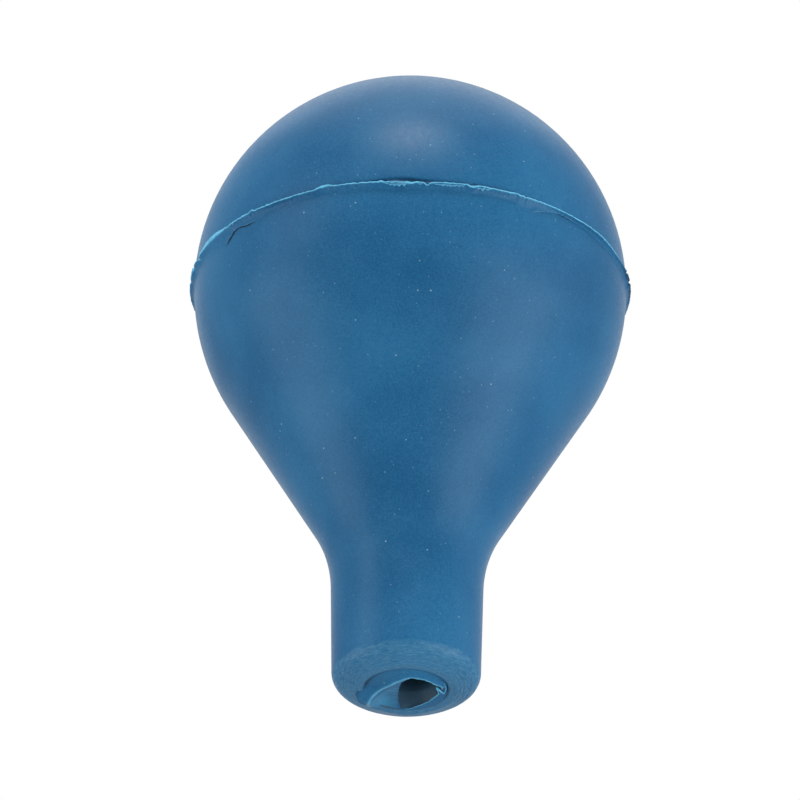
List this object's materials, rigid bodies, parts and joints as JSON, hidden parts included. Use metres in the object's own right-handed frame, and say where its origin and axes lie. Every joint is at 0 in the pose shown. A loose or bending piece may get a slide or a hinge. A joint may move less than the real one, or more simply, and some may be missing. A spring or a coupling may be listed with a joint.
{
  "type": "rubber squeeze bulb",
  "caption": "Hollow rubber squeeze bulb with a round dome, a seam with thin flash, a funnel-shaped lower half and a thick neck that grips a tube.",
  "frame": {"origin": "centre of the mouth, in the plane of the flat lip that the bulb stands on", "axes": "+Z along the bulb's axis, from the mouth of the neck up to the crown of the dome; X and Y lie in the plane of the lip"},
  "size_m": [0.0532, 0.0532, 0.0805],
  "materials": {
    "bulb_rubber": "matte moulded natural rubber, blue, with a faint chalky bloom",
    "flash_rubber": "thin ragged mould flash in the same blue rubber, paler at its edge"
  },
  "bodies": {
    "neck_body": {"lower_half": "bulb_rubber", "mouth_flash": "flash_rubber"},
    "dome_body": {"dome_half": "bulb_rubber", "seam_flash": "flash_rubber"}
  },
  "joints": [
    {"name": "squeeze", "type": "slide", "parent": "neck_body", "child": "dome_body", "axis": [0, 0, -1], "range_m": [0, 0.012], "stiffness_N_per_m": 1500, "deforming": ["lower_half"]}
  ]
}
